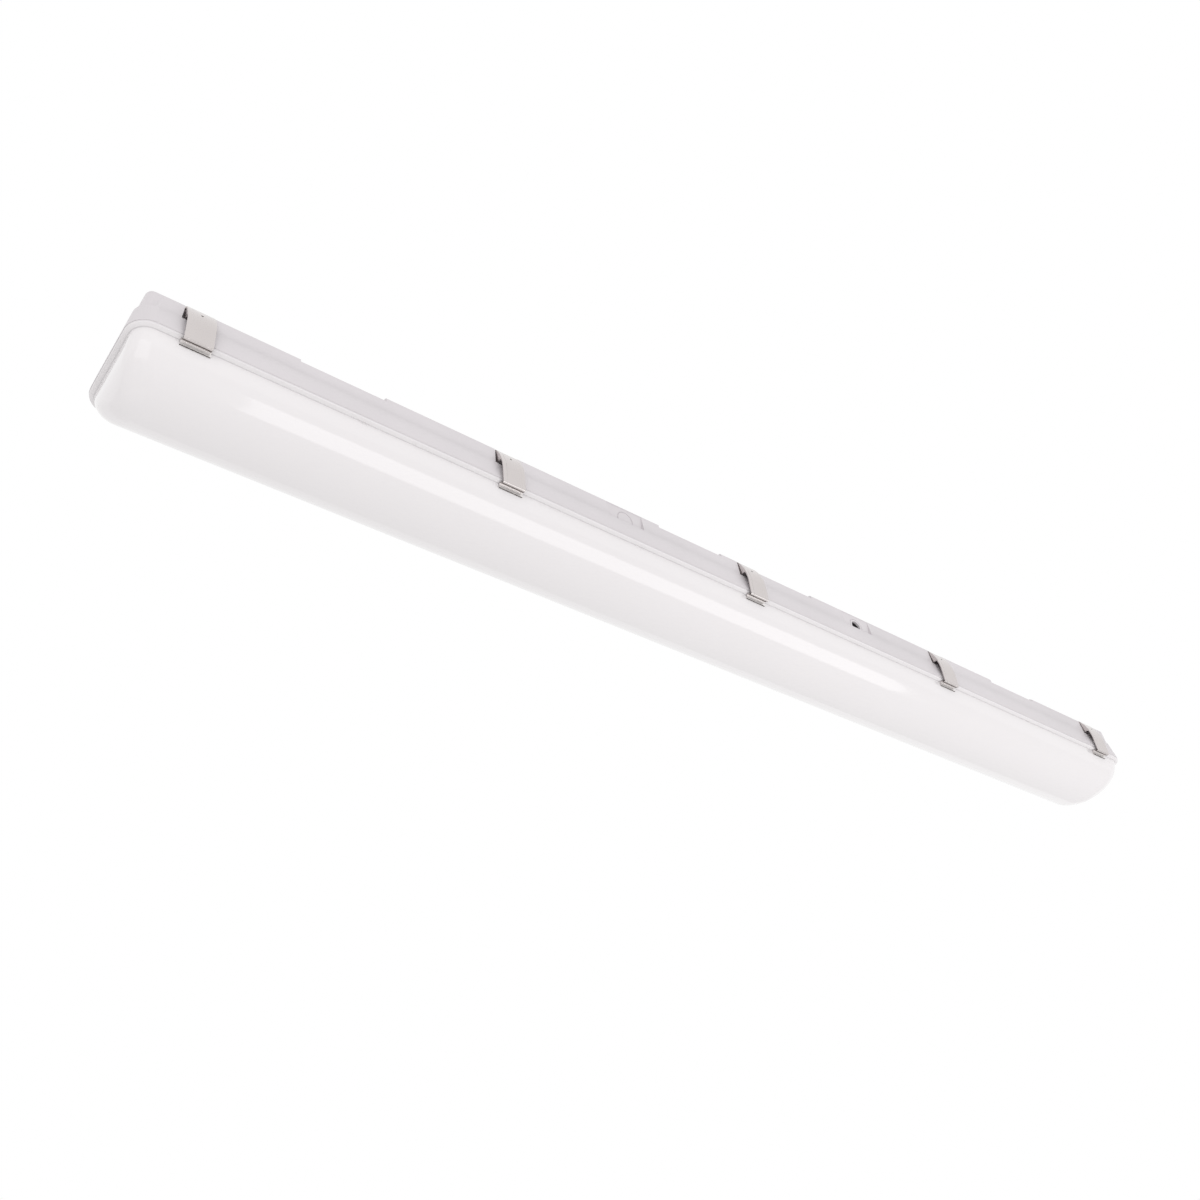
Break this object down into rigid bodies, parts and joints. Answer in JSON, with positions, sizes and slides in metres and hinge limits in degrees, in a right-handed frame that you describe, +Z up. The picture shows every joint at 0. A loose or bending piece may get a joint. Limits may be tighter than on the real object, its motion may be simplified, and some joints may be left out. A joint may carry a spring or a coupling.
{
  "type": "vapor tight light fixture",
  "caption": "Long sealed linear ceiling light: a grey moulded channel housing, a frosted rounded lens below it, and bent stainless clip latches along both sides.",
  "frame": {"origin": "middle of the back, in the plane of the raised pads that meet the ceiling", "axes": "+X along the fixture's length, from the near end in the picture to the far end; +Y across it, away from the side that the picture shows; +Z up, out of the back towards the ceiling"},
  "size_m": [1.2716, 0.114, 0.083],
  "materials": {
    "housing_plastic": "fine matt moulded grey",
    "lens_plastic": "frosted, light diffusing",
    "gasket_rubber": "foam",
    "stainless": "bright rolled, bent sheet",
    "white_steel": "gloss white",
    "zinc_steel": "zinc plated",
    "board": "white solder mask",
    "driver_case": "pale painted",
    "terminal_plastic": "moulded",
    "black_wire": "insulation",
    "white_wire": "insulation",
    "green_wire": "insulation",
    "red_wire": "insulation",
    "blue_wire": "insulation"
  },
  "bodies": {
    "fixture": {"board_jumper_front": "red_wire", "board_jumper_rear": "red_wire", "board_screw_1": "zinc_steel", "board_screw_2": "zinc_steel", "board_screw_3": "zinc_steel", "board_screw_4": "zinc_steel", "board_screw_5": "zinc_steel", "board_screw_6": "zinc_steel", "board_screw_7": "zinc_steel", "board_screw_8": "zinc_steel", "driver_base": "zinc_steel", "driver_cover": "driver_case", "driver_screw_1": "zinc_steel", "driver_screw_2": "zinc_steel", "gasket": "gasket_rubber", "gear_tray": "white_steel", "ground_lead": "green_wire", "ground_screw_1": "zinc_steel", "housing": "housing_plastic", "led_board_1": "board", "led_board_2": "board", "led_board_3": "board", "led_board_4": "board", "lens": "lens_plastic", "output_lead_front": "red_wire", "output_lead_rear": "blue_wire", "supply_lead_live": "black_wire", "supply_lead_neutral": "white_wire", "terminal_block": "terminal_plastic", "terminal_screw_1": "zinc_steel", "terminal_screw_2": "zinc_steel", "tray_screw_1": "zinc_steel", "tray_screw_2": "zinc_steel", "tray_screw_3": "zinc_steel", "tray_screw_4": "zinc_steel"},
    "latch_front_1": {"latch_front_1": "stainless"},
    "latch_front_2": {"latch_front_2": "stainless"},
    "latch_front_3": {"latch_front_3": "stainless"},
    "latch_front_4": {"latch_front_4": "stainless"},
    "latch_front_5": {"latch_front_5": "stainless"},
    "latch_rear_1": {"latch_rear_1": "stainless"},
    "latch_rear_2": {"latch_rear_2": "stainless"},
    "latch_rear_3": {"latch_rear_3": "stainless"},
    "latch_rear_4": {"latch_rear_4": "stainless"},
    "latch_rear_5": {"latch_rear_5": "stainless"}
  },
  "joints": [
    {"name": "latch_front_1_turn", "type": "hinge", "parent": "fixture", "child": "latch_front_1", "pos_m": [-0.5855, -0.0448, -0.0038], "axis": [-1, 0, 0], "range_deg": [0, 65]},
    {"name": "latch_front_2_turn", "type": "hinge", "parent": "fixture", "child": "latch_front_2", "pos_m": [-0.29603, -0.0448, -0.0038], "axis": [-1, 0, 0], "range_deg": [0, 65]},
    {"name": "latch_front_3_turn", "type": "hinge", "parent": "fixture", "child": "latch_front_3", "pos_m": [0, -0.0448, -0.0038], "axis": [-1, 0, 0], "range_deg": [0, 65]},
    {"name": "latch_front_4_turn", "type": "hinge", "parent": "fixture", "child": "latch_front_4", "pos_m": [0.29603, -0.0448, -0.0038], "axis": [-1, 0, 0], "range_deg": [0, 65]},
    {"name": "latch_front_5_turn", "type": "hinge", "parent": "fixture", "child": "latch_front_5", "pos_m": [0.5855, -0.0448, -0.0038], "axis": [-1, 0, 0], "range_deg": [0, 65]},
    {"name": "latch_rear_1_turn", "type": "hinge", "parent": "fixture", "child": "latch_rear_1", "pos_m": [-0.5855, 0.0448, -0.0038], "axis": [1, 0, 0], "range_deg": [0, 65]},
    {"name": "latch_rear_2_turn", "type": "hinge", "parent": "fixture", "child": "latch_rear_2", "pos_m": [-0.29603, 0.0448, -0.0038], "axis": [1, 0, 0], "range_deg": [0, 65]},
    {"name": "latch_rear_3_turn", "type": "hinge", "parent": "fixture", "child": "latch_rear_3", "pos_m": [0, 0.0448, -0.0038], "axis": [1, 0, 0], "range_deg": [0, 65]},
    {"name": "latch_rear_4_turn", "type": "hinge", "parent": "fixture", "child": "latch_rear_4", "pos_m": [0.29603, 0.0448, -0.0038], "axis": [1, 0, 0], "range_deg": [0, 65]},
    {"name": "latch_rear_5_turn", "type": "hinge", "parent": "fixture", "child": "latch_rear_5", "pos_m": [0.5855, 0.0448, -0.0038], "axis": [1, 0, 0], "range_deg": [0, 65]}
  ]
}
